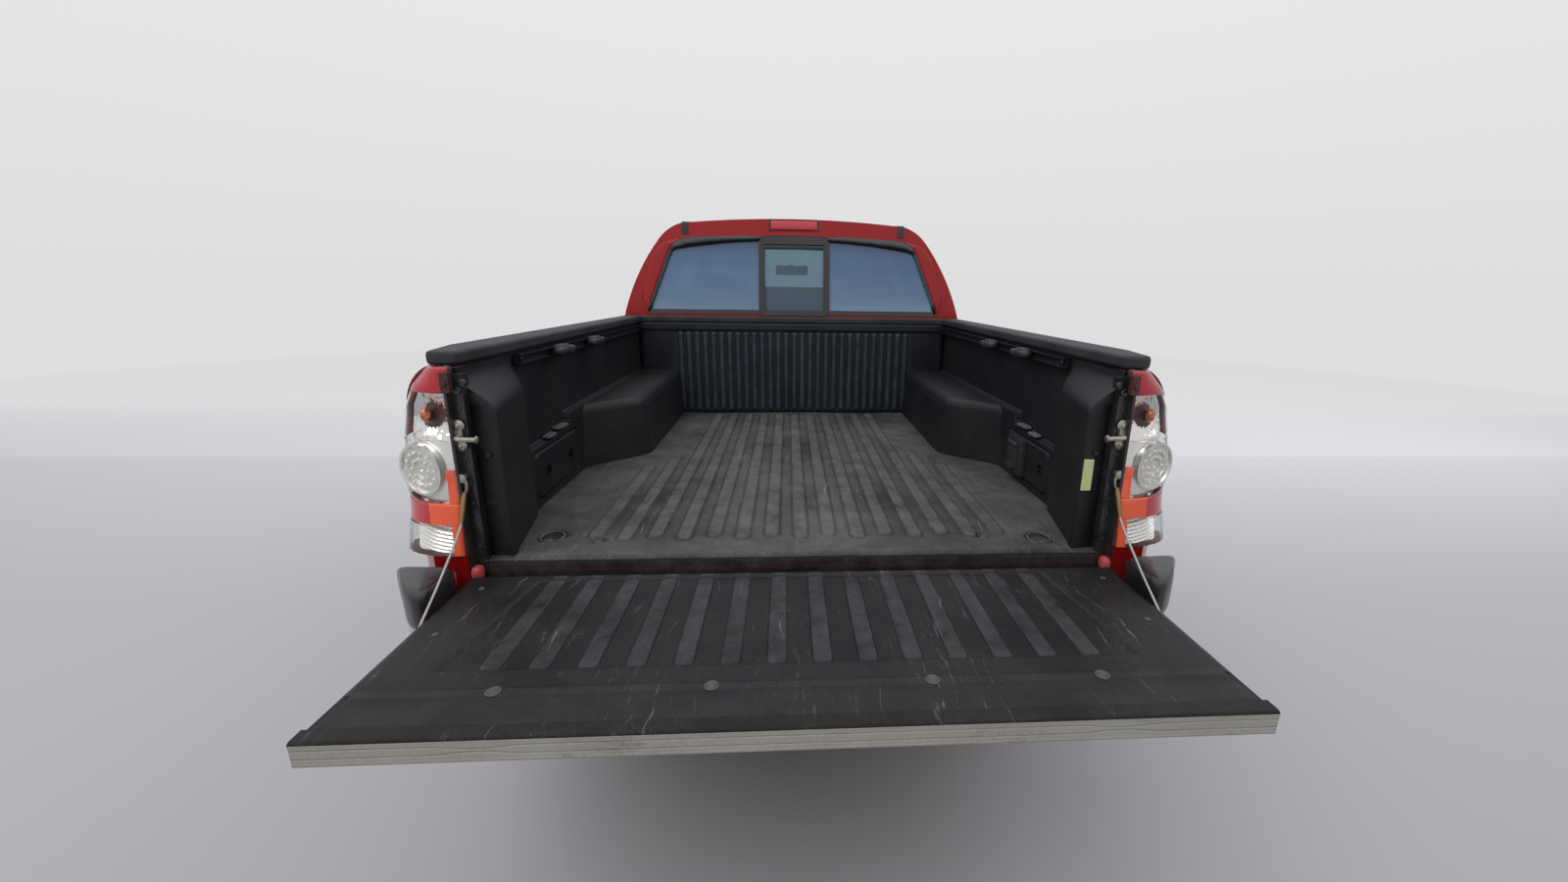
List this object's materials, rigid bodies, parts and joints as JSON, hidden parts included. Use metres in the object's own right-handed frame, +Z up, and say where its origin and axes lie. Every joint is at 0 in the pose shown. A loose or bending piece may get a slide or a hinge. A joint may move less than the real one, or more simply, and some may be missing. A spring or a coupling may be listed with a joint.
{
  "type": "pickup truck",
  "caption": "Double-cab pickup truck with a short open bed, tailgate let down, opening doors and hood, steered front wheels and turning rear wheels.",
  "frame": {"origin": "on the ground under the middle of the truck's length, open tailgate included", "axes": "+X to the truck's right, +Y forwards, +Z up"},
  "size_m": [2.1302, 5.6178, 1.7809],
  "materials": {
    "paint": "deep red metallic, clear coated",
    "frame_black": "satin black chassis paint",
    "cast_grey": "cast and machined, dusty",
    "engine_grey": "cast, matt",
    "steel": "weathered",
    "tank_plastic": "moulded",
    "tyre": "worn rubber",
    "alloy": "painted silver alloy",
    "glass_clear": "clear with a faint green",
    "glass_dark": "privacy tint",
    "trim_black": "grained black",
    "interior": "grained grey",
    "seat_cloth": "woven grey",
    "mirror": "silvered",
    "chrome": "bright",
    "lamp": "clear lens over a bright bowl",
    "lamp_red": "red and clear lens",
    "bed_liner": "scuffed composite",
    "gate_liner": "scratched grained plastic",
    "gate_cap": "weathered grey-beige",
    "zinc": "zinc plated",
    "cable": "plastic-sleeved steel cable"
  },
  "bodies": {
    "chassis": {"frame": "frame_black", "engine": "engine_grey", "driveline": "cast_grey", "fuel_tank": "tank_plastic", "exhaust": "steel", "spare_wheel": "tyre", "rear_axle": "cast_grey", "rear_springs": "frame_black", "front_suspension": "frame_black", "cab_shell": "paint", "floor_pan": "paint", "firewall": "paint", "windshield": "glass_clear", "rear_window_frame": "trim_black", "rear_window_glass": "glass_dark", "dashboard": "interior", "front_seats": "seat_cloth", "rear_seat": "seat_cloth", "interior_mirror": "trim_black", "front_fenders": "paint", "grille": "chrome", "front_bumper": "paint", "headlamps": "lamp", "wheel_liners": "tank_plastic", "bed_sides": "paint", "bed_tub": "bed_liner", "bed_rail_caps": "trim_black", "rear_lamps": "lamp_red", "rear_bumper": "chrome", "fender_flares": "paint", "tailgate_strikers": "zinc", "stay_cables": "cable"},
    "hood": {"hood": "paint"},
    "tailgate": {"tailgate_shell": "paint", "tailgate_liner": "gate_liner", "tailgate_cap": "gate_cap"},
    "steering_wheel": {"steering_wheel": "interior"},
    "door_front_left": {"door_front_left": "paint", "glass_front_left": "glass_clear", "mirror_left": "paint"},
    "door_rear_left": {"door_rear_left": "paint", "glass_rear_left": "glass_dark"},
    "door_front_right": {"door_front_right": "paint", "glass_front_right": "glass_clear", "mirror_right": "paint"},
    "door_rear_right": {"door_rear_right": "paint", "glass_rear_right": "glass_dark"},
    "knuckle_right": {"knuckle_right": "cast_grey"},
    "wheel_front_right": {"tyre_front_right": "tyre", "rim_front_right": "alloy"},
    "wheel_rear_right": {"tyre_rear_right": "tyre", "rim_rear_right": "alloy"},
    "knuckle_left": {"knuckle_left": "cast_grey"},
    "wheel_front_left": {"tyre_front_left": "tyre", "rim_front_left": "alloy"},
    "wheel_rear_left": {"tyre_rear_left": "tyre", "rim_rear_left": "alloy"}
  },
  "joints": [
    {"name": "hood_hinge", "type": "hinge", "parent": "chassis", "child": "hood", "pos_m": [0, 1.532, 1.195], "axis": [1, 0, 0], "range_deg": [0, 55]},
    {"name": "tailgate_hinge", "type": "hinge", "parent": "chassis", "child": "tailgate", "pos_m": [0, -2.338, 0.805], "axis": [-1, 0, 0], "range_deg": [0, 90], "deforming": ["stay_cables"]},
    {"name": "door_front_left_hinge", "type": "hinge", "parent": "chassis", "child": "door_front_left", "pos_m": [-0.907, 1.255, 0.9], "axis": [0, 0, -1], "range_deg": [0, 65]},
    {"name": "door_rear_left_hinge", "type": "hinge", "parent": "chassis", "child": "door_rear_left", "pos_m": [-0.907, 0.171, 0.9], "axis": [0, 0, -1], "range_deg": [0, 65]},
    {"name": "door_front_right_hinge", "type": "hinge", "parent": "chassis", "child": "door_front_right", "pos_m": [0.907, 1.255, 0.9], "axis": [0, 0, 1], "range_deg": [0, 65]},
    {"name": "door_rear_right_hinge", "type": "hinge", "parent": "chassis", "child": "door_rear_right", "pos_m": [0.907, 0.171, 0.9], "axis": [0, 0, 1], "range_deg": [0, 65]},
    {"name": "steer_right", "type": "hinge", "parent": "chassis", "child": "knuckle_right", "pos_m": [0.6925, 1.898, 0.388], "axis": [0, 0, 1], "range_deg": [-33, 33]},
    {"name": "roll_front_right", "type": "hinge", "parent": "knuckle_right", "child": "wheel_front_right", "pos_m": [0.8025, 1.898, 0.388], "axis": [-1, 0, 0], "continuous": true},
    {"name": "roll_rear_right", "type": "hinge", "parent": "chassis", "child": "wheel_rear_right", "pos_m": [0.8025, -1.348, 0.388], "axis": [-1, 0, 0], "continuous": true},
    {"name": "steer_left", "type": "hinge", "parent": "chassis", "child": "knuckle_left", "pos_m": [-0.6925, 1.898, 0.388], "axis": [0, 0, 1], "range_deg": [-33, 33]},
    {"name": "roll_front_left", "type": "hinge", "parent": "knuckle_left", "child": "wheel_front_left", "pos_m": [-0.8025, 1.898, 0.388], "axis": [-1, 0, 0], "continuous": true},
    {"name": "roll_rear_left", "type": "hinge", "parent": "chassis", "child": "wheel_rear_left", "pos_m": [-0.8025, -1.348, 0.388], "axis": [-1, 0, 0], "continuous": true},
    {"name": "steering_column", "type": "hinge", "parent": "chassis", "child": "steering_wheel", "pos_m": [-0.4, 0.8, 1.09], "axis": [0, -0.8829, 0.4695], "range_deg": [-530, 530]}
  ],
  "couplings": [
    {"joint": "steer_left", "follows": "steer_right", "ratio": 1},
    {"joint": "steering_column", "follows": "steer_right", "ratio": 16}
  ]
}
